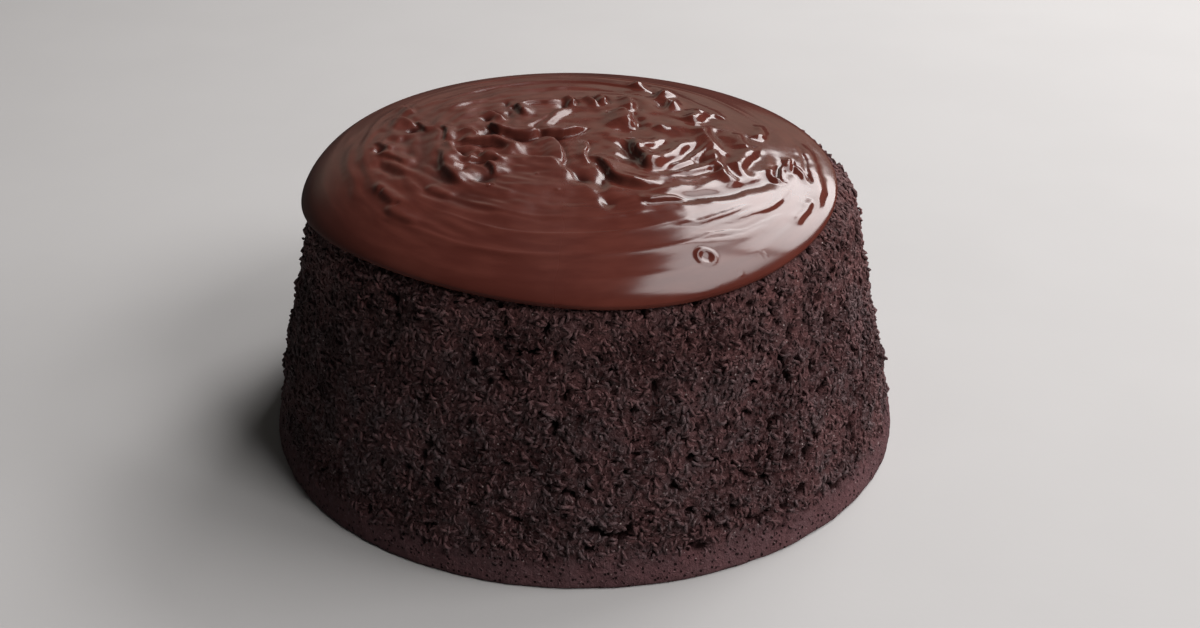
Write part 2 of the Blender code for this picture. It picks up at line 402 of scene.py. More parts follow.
RIDGES = CrumbFinish("crumb_ridges")
# The skin under and between the crumbs is a darker copy of the crumbs' finish: painted shade of the gaps
# between them.
SHADED_SKIN = CrumbFinish(
    "crumb_skin",
    dark=(0.0300, 0.0115, 0.0115),
    red=(0.0920, 0.0430, 0.0435),
    grey=(0.0840, 0.0500, 0.0515),
    top=(0.1180, 0.0460, 0.0410),
    shine=0.2,
    pit="pit",
)


@dataclass(frozen=True)
class IcingFinish:
    """Glossy milk-dark chocolate icing with faint streaks of the spatula, and painted shade in the hollows
    between its folds.

    Attributes:
        name: the material's name.
        body: main colour.
        pale: colour of the milkier streaks.
        painted_hollow_shade: colour of the painted shade in the hollows between the folds.
        painted_shade_depths: how far under its dome the painted shade is at its darkest, and where it
            ends, in millimetres.
        rise: name of the attribute that gives how far the icing lies over its dome, in millimetres, which
            sets where shade is painted.
        centre: middle of the round streaks, in millimetres.
        stretch: how little the streaks change along their way round, in metres a radian.
        roughness: of the glossiest icing.
        dull: how much rougher the icing is that has begun to set, on the left.
        setting: from where to where, in millimetres from its middle, it gets glossier.
        shine: strength of its reflection.
        streak_size: from one streak to the next, in millimetres.
        streak_depth: depth of the streaks' bumps, in millimetres.
        cloud_size: of the milkier patches, in millimetres.
    """

    name: str = "spread_icing"
    body: Colour = (0.076, 0.0170, 0.0118)
    pale: Colour = (0.104, 0.0265, 0.0185)
    painted_hollow_shade: Colour = (0.032, 0.0060, 0.0045)
    painted_shade_depths: tuple[float, float] = (-1.3, -0.1)
    rise: str = "rise"
    centre: tuple[float, float] = (-3.2, -1.7)
    stretch: float = 0.012
    roughness: float = 0.14
    dull: float = 0.17
    setting: tuple[float, float] = (-10.0, 14.0)
    shine: float = 0.5
    streak_size: float = 2.2
    streak_depth: float = 0.03
    cloud_size: float = 26.0

    def material(self) -> bpy.types.Material:
        """Build the material.

        Returns:
            The finished material.
        """
        tree = FinishTree(self.name)
        where = tree.place()
        x, y = (tree.axis(where, name) - middle * MM for name, middle in zip("XY", self.centre))
        far = (x * x + y * y).math("SQRT")
        pulled = {"X": far + tree.axis(where, "Z") * 0.4}
        pulled |= {"Y": x / far * self.stretch, "Z": y / far * self.stretch}
        streaks = tree.noise(tree.make("ShaderNodeCombineXYZ", pulled), self.streak_size, 3.0)
        clouds = tree.noise(where, self.cloud_size, 2.0)
        base = tree.mix((streaks * 0.6 + clouds * 0.4).step(0.35, 0.68), self.body, self.pale)
        # Painted shade: icing that lies low under its dome is darkened towards a deep red-brown, as in the
        # shade of the hollows.
        base = tree.mix(tree.attribute(self.rise).step(*self.painted_shade_depths), self.painted_hollow_shade, base)
        start, end = self.setting
        matt = (1.0 - x.step(start * MM, end * MM)) * self.dull
        gloss = self.roughness + (clouds - 0.5) * 0.10 + matt
        return tree.finish(base, gloss, tree.bump(streaks, self.streak_depth), self.shine)


@dataclass(frozen=True)
class FloorFinish:
    """Plain pale floor."""

    name: str = "pale_floor"
    colour: Colour = (0.484, 0.480, 0.476)
    worn: Colour = (0.476, 0.472, 0.468)
    roughness: float = 0.85
    shine: float = 0.2

    def material(self) -> bpy.types.Material:
        """Build the material.

        Returns:
            The finished material.
        """
        tree = FinishTree(self.name)
        where = tree.place()
        base = tree.mix(tree.noise(where, 60.0, 3.0).step(0.35, 0.65), self.colour, self.worn)
        grain = tree.bump(tree.noise(where, 2.0, 2.0), 0.02)
        return tree.finish(base, self.roughness, grain, self.shine)


# Meshes


@dataclass
class Skin:
    """Points and faces of one closed body, made ring by ring."""

    points: list[tuple[float, float, float]] = field(default_factory=list)
    faces: list[tuple[int, ...]] = field(default_factory=list)
    last: list[int] = field(default_factory=list)

    def ring(self, points: np.ndarray) -> None:
        """Add a ring above the last one and close the band between them.

        Args:
            points: array of shape (n, 3), in millimetres; one point closes an end.
        """
        start = len(self.points)
        self.points.extend(map(tuple, points * MM))
        now = list(range(start, start + len(points)))
        if self.last:
            self.band(self.last, now)
        self.last = now

    def band(self, low: list[int], high: list[int]) -> None:
        """Close the band between two rings, which may differ in count.

        Args:
            low: numbers of the points of the ring below.
            high: numbers of the points of the ring above.
        """
        if len(low) == len(high) and len(low) > 1:
            self.faces.extend((low[k - 1], low[k], high[k], high[k - 1]) for k in range(len(low)))
            return
        if len(low) == 1:
            self.faces.extend((low[0], high[k], high[k - 1]) for k in range(len(high)))
            return
        if len(high) == 1:
            self.faces.extend((low[k - 1], low[k], high[0]) for k in range(len(low)))
            return
        i = j = 0
        while i < len(low) or j < len(high):
            a, b = low[i % len(low)], high[j % len(high)]
            due = (i + 0.5) * len(high) <= (j + 0.5) * len(low)
            if j >= len(high) or (i < len(low) and due):
                i += 1
                self.faces.append((a, low[i % len(low)], b))
            else:
                j += 1
                self.faces.append((a, high[j % len(high)], b))

    def mesh(self, name: str) -> bpy.types.Mesh:
        """The finished mesh, shaded smooth, with its faces turned outwards.

        Args:
            name: of the mesh.

        Returns:
            The mesh, in metres.
        """
        mesh = bpy.data.meshes.new(name)
        mesh.from_pydata(self.points, [], self.faces)
        body = bmesh.new()
        body.from_mesh(mesh)
        bmesh.ops.recalc_face_normals(body, faces=body.faces)
        body.to_mesh(mesh)
        body.free()
        mesh.shade_smooth()
        return mesh


def link_piece(name: str, mesh: bpy.types.Mesh, material: bpy.types.Material) -> bpy.types.Object:
    """Put a mesh into the scene as an object with one material.

    Args:
        name: of the object.
        mesh: its mesh.
        material: its only material.

    Returns:
        The object.
    """
    mesh.materials.clear()
    mesh.materials.append(material)
    piece = bpy.data.objects.new(name, mesh)
    bpy.context.scene.collection.objects.link(piece)
    return piece


def hand_over(piece: bpy.types.Object, node: str) -> None:
    """Tie a finished piece to the frame and report it.

    Args:
        piece: the object.
        node: name of the solid that it stands for.
    """
    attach(piece, BODY)
    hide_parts(node)
    piece.data.calc_loop_triangles()
    LOG.info("%s: %d triangles", piece.name, len(piece.data.loop_triangles))


# Sponge


@dataclass(frozen=True)
class Crag:
    """A scrap of crumb that stands out of the side, or a hole where one broke off.

    Attributes:
        direction: from the cake's axis, in degrees.
        height: above the base, in millimetres.
        reach: how far it stands out, in millimetres, or goes in if negative.
        half_width: in millimetres.
        half_height: in millimetres, or 0 for the same as its width.
    """

    direction: float
    height: float
    reach: float
    half_width: float
    half_height: float = 0.0

    def at(self, angles: np.ndarray, radius: np.ndarray, height: float) -> np.ndarray:
        """How far it moves the points of one ring outwards.

        Args:
            angles: directions of the points from the cake's axis.
            radius: their distances from it, in millimetres.
            height: of the ring, in millimetres.

        Returns:
            Array of distances, in millimetres.
        """
        turn = np.angle(np.exp(1j * (angles - math.radians(self.direction)))) * radius / self.half_width
        climb = (height - self.height) / (self.half_height or self.half_width)
        return self.reach * np.exp(-(turn**2) - climb**2)


@dataclass
class SpongeForm:
    """Smooth outline of the sponge, in millimetres.

    Attributes:
        base_radius: radius of the tapering side, carried down to the base.
        taper: how far the side leans in for each millimetre up.
        height: of the flat top under the icing.
        shoulder: radius of the rounded edge.
        foot_height: height of the band above the base.
        foot_step: how far that band stands out.
    """

    base_radius: float = 92.0
    taper: float = 0.22
    height: float = 76.8
    shoulder: float = 13.0
    foot_height: float = 6.5
    foot_step: float = 0.5

    def shoulder_start(self) -> float:
        """Height at which the side starts to turn in."""
        return self.height - self.shoulder

    def shoulder_middle(self) -> float:
        """Distance of the rounded edge's centre from the axis."""
        return self.base_radius - self.taper * self.shoulder_start() - self.shoulder

    def outline(self, spacing: float) -> np.ndarray:
        """Radius and height up the side and over the shoulder.

        Args:
            spacing: distance between neighbouring points, in millimetres.

        Returns:
            Array of shape (n, 2).
        """
        foot = self.base_radius + self.foot_step
        bends = [(foot - 0.5, 0.0), (foot - 0.1, 0.5), (foot - self.taper * 5.0, 5.0)]
        bends.append((self.base_radius - self.taper * self.foot_height * 1.4, self.foot_height * 1.4))
        bends.append((self.base_radius - self.taper * self.shoulder_start(), self.shoulder_start()))
        for angle in np.radians(np.arange(3.0, 91.0, 3.0)):
            out = self.shoulder_middle() + self.shoulder * math.cos(angle)
            bends.append((out, self.shoulder_start() + self.shoulder * math.sin(angle)))
        path = np.array(bends)
        along = np.concatenate(([0.0], np.cumsum(np.hypot(*np.diff(path, axis=0).T))))
        where = np.linspace(0.0, along[-1], int(along[-1] / spacing) + 1)
        return np.stack([np.interp(where, along, path[:, 0]), np.interp(where, along, path[:, 1])], 1)

    def under_icing(self, radius: np.ndarray, clearance: float) -> tuple[np.ndarray, np.ndarray]:
        """Height of the icing's underside at distances from the axis, and the sine of the slope there.

        Args:
            radius: distances from the cake's axis.
            clearance: gap under the icing.

        Returns:
            The heights, and the sines of the slope.
        """
        outer = self.shoulder + clearance
        tilt = np.clip((radius - self.shoulder_middle()) / outer, 0.0, 1.0)
        return self.shoulder_start() + outer * np.sqrt(1.0 - tilt**2), tilt


@dataclass
class IcingForm:
    """Smooth outline of the icing, in millimetres.

    Attributes:
        centre: middle of the icing, as seen from above.
        radius: mean distance of its edge from that middle.
        waves: order, size and phase in degrees of each wave of its edge.
        top: height of the dome.
        edge_level: height towards which the dome falls at its edge.
        edge_power: how late the dome turns to meet the real edge.
        dome_power: how flat the dome is before it falls.
        falloff: how straight the dome falls to its edge, on average: 0.5 is round.
        falloff_swing: how much straighter it falls at its front right than on average.
        front_right: that direction, in degrees.
        lean: how much lower the dome is on its right than in its middle.
        lip_reach: from the contact with the sponge to the outermost edge.
        lip_nose: how far the lip hangs down the sponge's slope.
        lip_thickness: of the rounded lip, on average.
        lip_swing: how much thinner it is on its right than on average.
        clearance: gap between the icing's underside and the sponge.
    """

    centre: tuple[float, float] = (-3.2, -1.7)
    radius: float = 74.9
    waves: tuple[tuple[int, float, float], ...] = ((2, 1.3, 82.0), (3, 1.1, -162.0))
    top: float = 86.2
    edge_level: float = 72.2
    edge_power: float = 6.0
    dome_power: float = 4.0
    falloff: float = 0.66
    falloff_swing: float = 0.20
    front_right: float = -65.0
    lean: float = 2.0
    lip_reach: float = 2.6
    lip_nose: float = 2.0
    lip_thickness: float = 2.7
    lip_swing: float = 0.5
    clearance: float = 0.1

    def spot(self, reach: np.ndarray, angles: np.ndarray) -> tuple[np.ndarray, np.ndarray]:
        """Place at a distance and direction from the icing's middle."""
        return self.centre[0] + reach * np.cos(angles), self.centre[1] + reach * np.sin(angles)

    def rim(self, angle: np.ndarray) -> np.ndarray:
        """Distance of the edge from the icing's middle, in each direction.

        Args:
            angle: directions, in radians.

        Returns:
            Array of distances.
        """
        reach = np.full_like(angle, self.radius)
        for order, size, phase in self.waves:
            reach = reach + size * np.cos(order * angle + math.radians(phase))
        return reach

    def contact(self, direction: np.ndarray) -> np.ndarray:
        """Distance from the cake's axis at which the icing meets the sponge, in each direction from it.

        Args:
            direction: directions from the cake's axis, in radians.

        Returns:
            Array of distances.
        """
        around = np.linspace(-math.pi, math.pi, 721)
        x, y = self.spot(self.rim(around) - self.lip_reach, around)
        seen = np.arctan2(y, x)
        order = np.argsort(seen)
        return np.interp(direction, seen[order], np.hypot(x, y)[order], period=2 * math.pi)

    def edge_ring(self, sponge: SpongeForm, angles: np.ndarray, inset: float, step: float) -> np.ndarray:
        """A ring of the underside or of the rounded lip.

        Args:
            sponge: what the icing lies on.
            angles: directions from the icing's middle.
            inset: distance inwards from the contact, in millimetres.
            step: share of the way round the lip, from 0 at the contact to 1 at its outermost edge.

        Returns:
            Array of shape (n, 3).
        """
        reach = self.rim(angles) - self.lip_reach - inset
        height, tilt = sponge.under_icing(np.hypot(*self.spot(reach, angles)), self.clearance)
        level = np.sqrt(1.0 - tilt**2)
        turn = step * (math.pi - np.arctan2(level, tilt))
        down = self.lip_nose * np.sin(turn)
        off = (self.lip_thickness - self.lip_swing * np.cos(angles)) / 2 * (1.0 - np.cos(turn))
        out = reach + down * level + off * tilt
        rise = off * level - down * tilt
        return np.stack([*self.spot(out, angles), height + rise], 1)

    def dome_ring(self, sponge: SpongeForm, angles: np.ndarray, share: float) -> np.ndarray:
        """A ring of the smooth upper side, at a share of the way from the middle to the edge.

        Args:
            sponge: what the icing lies on.
            angles: directions from the icing's middle.
            share: 0 at the middle, 1 at the edge.

        Returns:
            Array of shape (n, 3).
        """
        rim = self.edge_ring(sponge, angles, 0.0, 1.0)
        x = self.centre[0] + share * (rim[:, 0] - self.centre[0])
        y = self.centre[1] + share * (rim[:, 1] - self.centre[1])
        level = self.edge_level + (rim[:, 2] - self.edge_level) * share**self.edge_power
        falloff = self.falloff + self.falloff_swing * np.cos(angles - math.radians(self.front_right))
        height = level + (self.top - level) * (1.0 - share**self.dome_power) ** falloff
        height = height - self.lean * (x - self.centre[0]) / self.radius * (1.0 - share**4)
        return np.stack([x, y, height], 1)


@dataclass
class SpongeCake:
    """The baked sponge with its open crumb.

    Attributes:
        form: smooth outline.
        icing: what hides its top.
        columns: points round it.
        spacing: distance between points up its side, in millimetres.
        layers: amplitude and size of each layer of unevenness of the solid model.
        crags: scraps that stand out of its side.
        holes: crevices and broken places in its side.
        worm_depth: depth of the network of small ridges, in millimetres.
        wrinkle_depth: depth of the flat layers, in millimetres.
        pore_depth: depth of the scattered pores, in millimetres.
        tucked: how far its crumb goes on under the icing, in millimetres.
        plain: where its large unevenness ends, in millimetres up from the icing's edge.
        hidden: where its crumb ends, in millimetres up from the icing's edge.
    """

    form: SpongeForm
    icing: IcingForm
    columns: int = 740
    spacing: float = 0.72
    layers: tuple[tuple[float, float], ...] = ((0.7, 45.0), (0.6, 14.0), (0.6, 6.0))
    crags: tuple[Crag, ...] = (
        Crag(-169, 46, 0.9, 4),
        Crag(-170, 36, 1.5, 4),
        Crag(-168, 25, 1.4, 4),
        Crag(-11, 24, 1.6, 4),
        Crag(-14, 55, 1.0, 6),
        Crag(38, 40, 1.5, 5),
        Crag(104, 28, 1.4, 5),
    )
    holes: tuple[Crag, ...] = (
        Crag(-51.9, 50.5, -2.0, 1.0, 3.0),
        Crag(-43.9, 44.8, -2.0, 1.1, 2.6),
        Crag(-37.5, 54.0, -2.2, 1.6, 2.4),
        Crag(-41.0, 60.5, -1.6, 1.3, 2.0),
        Crag(-30.0, 43.5, -1.8, 1.0, 3.2),
        Crag(-16.0, 17.0, -1.8, 1.0, 5.0),
        Crag(-30.5, 28.0, -1.8, 1.7, 2.2),
        Crag(-34.0, 21.0, -1.8, 1.8, 1.9),
        Crag(-48.0, 23.0, -1.8, 1.7, 2.0),
        Crag(-50.0, 14.0, -1.8, 2.2, 1.7),
        Crag(-58.0, 21.5, -1.4, 2.6, 1.5),
        Crag(-64.5, 16.0, -1.4, 2.0, 1.4),
        Crag(-71.0, 8.0, -1.5, 3.0, 1.5),
        Crag(-78.0, 42.5, -1.2, 4.0, 0.9),
        Crag(-96.0, 27.0, -1.3, 2.2, 1.4),
        Crag(-118.0, 33.0, -1.3, 1.6, 2.2),
        Crag(12.0, 38.0, -1.8, 1.4, 3.0),
        Crag(57.0, 25.0, -1.8, 2.0, 2.2),
        Crag(83.0, 52.0, -1.8, 1.2, 3.0),
        Crag(121.0, 18.0, -1.8, 2.4, 1.8),
        Crag(149.0, 40.0, -1.8, 1.5, 2.6),
        Crag(-150.0, 24.0, -1.6, 1.8, 2.0),
    )
    worm_depth: float = 0.6
    wrinkle_depth: float = 0.3
    pore_depth: float = 1.4
    tucked: float = 4.0
    plain: tuple[float, float] = (-8.0, -3.5)
    hidden: tuple[float, float] = (-1.0, 1.5)

    # The bends keep the ridges from lying along straight lines, by BEND millimetres
    BENDS = tuple(Grain(4.0, seed) for seed in (1, 2, 3))
    BEND = 1.2
    WORMS = Grain(2.1, 4)
    FINE = Grain(1.5, 5)
    PORES = Grain(2.7, 6)
    OPENNESS = Grain(30.0, 7)
    WRINKLES = Grain(5.0, 8)

    def relief(self, points: np.ndarray, angles: np.ndarray, height: float) -> np.ndarray:
        """How far the crumb stands out of the smooth outline along one ring.

        Args:
            points: array of shape (n, 3), in millimetres.
            angles: their directions from the cake's axis.
            height: of the ring, in millimetres.

        Returns:
            Array of distances, in millimetres.
        """
        relief = plain_noise(points * MM, [(amplitude, size * MM) for amplitude, size in self.layers])
        radius = np.hypot(points[:, 0], points[:, 1])
        return relief + sum(crag.at(angles, radius, height) for crag in self.crags)

    def crumb(self, points: np.ndarray) -> tuple[np.ndarray, np.ndarray]:
        """Small ridges and pores.

        Args:
            points: array of shape (n, 3), in millimetres.

        Returns:
            The height of the ridges at the points, in millimetres, and how much each lies in a pore.
        """
        warped = points + self.BEND * np.stack([bend.at(points) for bend in self.BENDS], 1)
        ridge = 1.0 - 2.2 * np.abs(self.WORMS.at(warped))
        fine = self.FINE.at(warped)
        layers = self.WRINKLES.at(warped * np.array([1.0, 1.0, 3.0]))
        openness = 0.10 * self.OPENNESS.at(points) + 0.0016 * (points[:, 0] - points[:, 2]) - 0.02
        pores = smoothstep(0.32, 0.52, self.PORES.at(warped) + np.clip(openness, -0.2, 0.08))
        return self.worm_depth * (0.45 * ridge + 0.4 * fine) + self.wrinkle_depth * layers, pores

    def row(
        self, angles: np.ndarray, place: np.ndarray, out: np.ndarray, above: np.ndarray
    ) -> tuple[np.ndarray, dict[str, np.ndarray]]:
        """One ring of the side, with its relief.

        Args:
            angles: directions of its points.
            place: radius and height of the smooth outline there.
            out: which way the outline faces: how much outwards and how much up.
            above: how far each point lies up the side from the icing's edge, in millimetres.

        Returns:
            Array of shape (n, 3), and for each mark its value at every point.
        """
        radius, height = place
        level = np.array(height)
        band = np.array(height / self.form.foot_height)
        ahead = np.stack([np.cos(angles), np.sin(angles), np.zeros_like(angles)], 1)
        points = radius * ahead + np.array([0.0, 0.0, height])
        shown = 1.0 - smoothstep(*self.plain, above)
        near = 1.0 - smoothstep(*self.hidden, above)
        foot = smoothstep(0.5, 1.5, band)
        lift = smoothstep(0.0, 1.2, level)
        relief = self.relief(points, angles, height) * shown * (0.35 + 0.65 * foot)
        ridges, pores = self.crumb(points)
        broken = sum(hole.at(angles, radius, height) for hole in self.holes)
        # pit marks the pores; the skin's finish also paints shade into them.
        pit = np.maximum(pores * foot, smoothstep(0.5, 1.4, -broken)) * near
        relief = relief + (ridges * (0.5 + 0.5 * foot) - self.pore_depth * pores * foot) * near * lift
        relief = relief + broken * near
        moved = points + relief[:, None] * (ahead * out[0] + np.array([0.0, 0.0, out[1]]))
        moved[:, 2] = np.maximum(moved[:, 2], 0.0)
        bare = near * (1.0 - smoothstep(0.1, 0.6, pit))
        fine, large = bare * smoothstep(1.3, 2.4, level), bare * smoothstep(0.8, 1.5, band)
        return moved, {"fine": fine, "open": large, "pit": pit}

    def build(self) -> bpy.types.Mesh:
        """Make the closed mesh, with point attributes for where fine and large crumbs and pores lie.

        Returns:
            The mesh, in metres.
        """
        skin = Skin()
        marks: dict[str, list[float]] = {"fine": [], "open": [], "pit": []}

        def lay(ring: np.ndarray, values: dict[str, np.ndarray] | None = None) -> None:
            """Add a ring and its marks, or marks of 0.

            Args:
                ring: array of shape (n, 3), in millimetres.
                values: for each mark its value at every point.
            """
            skin.ring(ring)
            for name, numbers in marks.items():
                numbers.extend(values[name] if values else [0.0] * len(ring))

        angles = ring_angles(self.columns)
        outline = self.form.outline(self.spacing)
        along = self.spacing * np.arange(len(outline))
        edge = np.interp(self.icing.contact(angles), outline[::-1, 0], along[::-1])
        slope = np.gradient(outline, axis=0)
        out = np.stack([slope[:, 1], -slope[:, 0]], 1)
        out /= np.hypot(*out.T)[:, None]
        lay(np.zeros((1, 3)))
        lay(level_ring(self.form.base_radius / 2, self.columns // 10))
        for number in range(int(np.argmax(along > edge.max() + self.tucked)) or len(outline)):
            lay(*self.row(angles, outline[number], out[number], along[number] - edge))
        for radius, count in ((60.0, self.columns // 4), (30.0, self.columns // 20)):
            lay(level_ring(radius, count, self.form.height))
        lay(np.array([[0.0, 0.0, self.form.height]]))
        mesh = skin.mesh("sponge_crumb")
        for name, values in marks.items():
            attribute = mesh.attributes.new(name, "FLOAT", "POINT")
            attribute.data.foreach_set("value", np.array(values, np.float32))
        return mesh


@dataclass(frozen=True)
class CrumbKind:
    """One kind of small crumb, in millimetres.

    Attributes:
        name: the piece's name.
        length: from end to end.
        thickness: across its middle.
        bend: how far its middle stands off the line between its ends.
        spacing: least distance between two of the kind.
        tilt: how far it may stand up out of the surface, in degrees.
        sink: how deep it sits in the sponge.
        seed: of its places and turns.
        cover: name of the host's attribute that says where the kind lies.
    """

    name: str
    length: float
    thickness: float
    bend: float
    spacing: float
    tilt: float
    sink: float
    seed: int
    cover: str = "open"

    def prototype(self) -> bpy.types.Mesh:
        """A bent little worm along X with rounded ends.

        Returns:
            The mesh, in metres.
        """
        skin = Skin()
        sides = ring_angles(4)
        shares = (-1.0, -0.7, 0.0, 0.7, 1.0) if self.bend > 0.3 else (-1.0, -0.6, 0.6, 1.0)
        for share in shares:
            middle = np.array([share * self.length / 2, self.bend * (1.0 - share**2), 0.0])
            reach = self.thickness / 2 * math.sqrt(max(0.0, 1.0 - share**4))
            if reach == 0.0:
                skin.ring(middle[None, :])
            else:
                skin.ring(middle + reach * np.stack([0 * sides, np.cos(sides), np.sin(sides)], 1))
        return skin.mesh(self.name + "_one")


class ScatterTree(Tree):
    """Geometry Nodes that lay copies of one crumb over a host's covered skin."""

    INPUTS = {
        "Geometry": "NodeSocketGeometry",
        "Crumb": "NodeSocketObject",
        "Spacing": "NodeSocketFloat",
        "Sink": "NodeSocketFloat",
        "Tilt": "NodeSocketFloat",
        "Seed": "NodeSocketInt",
        "Finish": "NodeSocketMaterial",
        "Cover": "NodeSocketString",
    }
    # Crumbs a square metre, smallest and largest size, and seeds between random numbers
    DENSEST = 4.0e6
    SIZES = (0.62, 1.28)
    SEED_STEP = 101.0

    def __init__(self, name: str) -> None:
        """Build the tree once, with named inputs.

        Args:
            name: of the tree.
        """
        super().__init__(bpy.data.node_groups.new(name, "GeometryNodeTree"))
        face = self.group.interface
        self.names = {
            label: face.new_socket(name=label, in_out="INPUT", socket_type=kind).identifier
            for label, kind in self.INPUTS.items()
        }
        face.new_socket(name="Geometry", in_out="OUTPUT", socket_type="NodeSocketGeometry")
        given = self.make("NodeGroupInput", {}).beside
        cover = self.make(
            "GeometryNodeInputNamedAttribute", {"Name": given("Cover")}, "Attribute", data_type="FLOAT"
        )
        density = {"Distance Min": given("Spacing"), "Density Max": self.DENSEST, "Density Factor": cover}
        spread = self.make(
            "GeometryNodeDistributePointsOnFaces",
            {"Mesh": given("Geometry"), "Seed": given("Seed"), **density},
            "Points",
            distribute_method="POISSON",
        )
        inward = {"Vector": spread.beside("Normal"), "Scale": given("Sink")}
        sunk = self.make("ShaderNodeVectorMath", inward, "Vector", operation="SCALE")
        lowered = self.make("GeometryNodeSetPosition", {"Geometry": spread, "Offset": sunk})
        spin = self.random_number(-math.pi, math.pi, given("Seed"), 0)
        lean = self.random_number(-1.0, 1.0, given("Seed"), 1)
        roll = self.random_number(-math.pi, math.pi, given("Seed"), 2)
        size = self.random_number(*self.SIZES, given("Seed"), 3)
        turn = self.make("ShaderNodeCombineXYZ", {"X": roll, "Y": lean * given("Tilt"), "Z": spin})
        turned = self.make("FunctionNodeEulerToRotation", {"Euler": turn})
        facing = self.make(
            "FunctionNodeRotateRotation",
            {"Rotation": spread.beside("Rotation"), "Rotate By": turned},
            rotation_space="LOCAL",
        )
        shown = {"Object": given("Crumb"), "As Instance": True}
        one = self.make("GeometryNodeObjectInfo", shown, "Geometry")
        laid = self.make(
            "GeometryNodeInstanceOnPoints",
            {"Points": lowered, "Instance": one, "Rotation": facing, "Scale": size},
        )
        real = self.make("GeometryNodeRealizeInstances", {"Geometry": laid})
        done = self.make("GeometryNodeSetMaterial", {"Geometry": real, "Material": given("Finish")})
        self.plug(self.group.nodes.new("NodeGroupOutput").inputs[0], done)

    def random_number(self, low: float, high: float, seed: Link, number: int) -> Link:
        """A random number for each point.

        Args:
            low: least value.
            high: greatest value.
            seed: the tree's seed.
            number: tells the random numbers of one tree apart.

        Returns:
            The link that gives it.
        """
        inputs = {"Min": low, "Max": high, "Seed": seed + self.SEED_STEP * number}
        return self.make("FunctionNodeRandomValue", inputs, "Value", data_type="FLOAT")

    def lay(self, kind: CrumbKind, host: bpy.types.Mesh, material: bpy.types.Material) -> bpy.types.Object:
        """Lay one kind of crumb over the host and return the joined piece.

        Args:
            kind: which crumb.
            host: the skin it lies on, with its cover attribute.
            material: the crumbs' finish.

        Returns:
            A plain mesh object that holds all crumbs of the kind.
        """
        one = link_piece(kind.name + "_one", kind.prototype(), material)
        carrier = link_piece(kind.name + "_host", host.copy(), material)
        modifier = carrier.modifiers.new("scatter", "NODES")
        modifier.node_group = self.group
        values = {
            "Crumb": one,
            "Spacing": kind.spacing * MM,
            "Sink": -kind.sink * MM,
            "Tilt": math.radians(kind.tilt),
            "Seed": kind.seed,
            "Finish": material,
            "Cover": kind.cover,
        }
        for label, value in values.items():
            modifier[self.names[label]] = value
        carrier.update_tag()
        graph = bpy.context.evaluated_depsgraph_get()
        mesh = bpy.data.meshes.new_from_object(carrier.evaluated_get(graph))
        mesh.name = kind.name
        mesh.shade_smooth()
        piece = link_piece(kind.name, mesh, material)
        for helper in (carrier, one):
            bpy.data.objects.remove(helper, do_unlink=True)
        return piece


# Icing


@dataclass(frozen=True)
class Fold:
    """A crest of icing, or a stroke if its rise is negative, in millimetres.

    Attributes:
        path: places that its line runs through, seen from above.
        rise: height of the crest over the icing round it.
        reach: half width of its gentle side.
        steep: half width of its steep side, on the left of the path, or on the right if negative.
        curl: how far the crest leans over its steep side.
    """

    path: tuple[tuple[float, float], ...]
    rise: float
    reach: float
    steep: float
    curl: float = 0.3

    # How many half widths away a fold ends, the share of its path over which it dies out,
    # and the depth of the groove at its steep side as a share of its rise
    MARGIN = 2.2
    ENDS = 0.28
    GROOVE = 0.3

    def line(self, steps: int = 5) -> np.ndarray:
        """The path as a smooth curve with a number of steps between its places.

        Args:
            steps: from one place to the next.

        Returns:
            Array of shape (n, 2).
        """
        ends = np.array(self.path, float)
        knots = np.vstack([2 * ends[0] - ends[1], ends, 2 * ends[-1] - ends[-2]])
        share = np.arange(steps)[:, None] / steps
        curve = []
        for a, b, c, d in zip(knots, knots[1:], knots[2:], knots[3:]):
            bend = (2 * a - 5 * b + 4 * c - d) * share**2 + (3 * b - a - 3 * c + d) * share**3
            curve.append(0.5 * (2 * b + (c - a) * share + bend))
        return np.vstack([*curve, ends[-1:]])

    def raise_icing(self, places: np.ndarray, shift: np.ndarray) -> None:
        """Add the fold to the shift of the places that it reaches.

        Args:
            places: array of shape (n, 2).
            shift: array of shape (n, 3), changed in place.
        """
        curve = self.line()
        margin = self.MARGIN * max(self.reach, abs(self.steep))
        low, high = curve.min(0) - margin, curve.max(0) + margin
        near = np.flatnonzero(((places > low) & (places < high)).all(1))
        here = places[near]
        best = np.full(len(here), 1e9)
        left, share = np.zeros(len(here)), np.zeros(len(here))
        lean = np.zeros((len(here), 2))
        for number, (a, b) in enumerate(zip(curve, curve[1:])):
            run = b - a
            part = np.clip(((here - a) @ run) / (run @ run), 0.0, 1.0)
            off = here - a - part[:, None] * run
            far = np.hypot(*off.T)
            closer = far < best
            best = np.where(closer, far, best)
            side = np.sign(run[0] * off[:, 1] - run[1] * off[:, 0])
            left = np.where(closer, far * side, left)
            share = np.where(closer, (number + part) / (len(curve) - 1), share)
            lean[closer] = np.array([-run[1], run[0]]) / np.hypot(*run)
        envelope = smoothstep(0.0, self.ENDS, share) * (1.0 - smoothstep(1.0 - self.ENDS, 1.0, share))
        hand, width = math.copysign(1.0, self.steep), abs(self.steep)
        toward = left * hand
        face = 1.0 - smoothstep(0.0, width, toward)
        slope = np.exp(-1.1 * (np.minimum(toward, 0.0) / self.reach) ** 2)
        groove = self.GROOVE * np.exp(-(((toward - 1.3 * width) / (0.7 * width)) ** 2)) * (toward > 0)
        profile = np.where(toward > 0, face - groove * smoothstep(0.0, width, toward), slope)
        tip = np.exp(-((toward / width) ** 2)) * envelope * self.curl * hand
        shift[near, 2] += self.rise * envelope * profile
        shift[near, :2] += tip[:, None] * lean


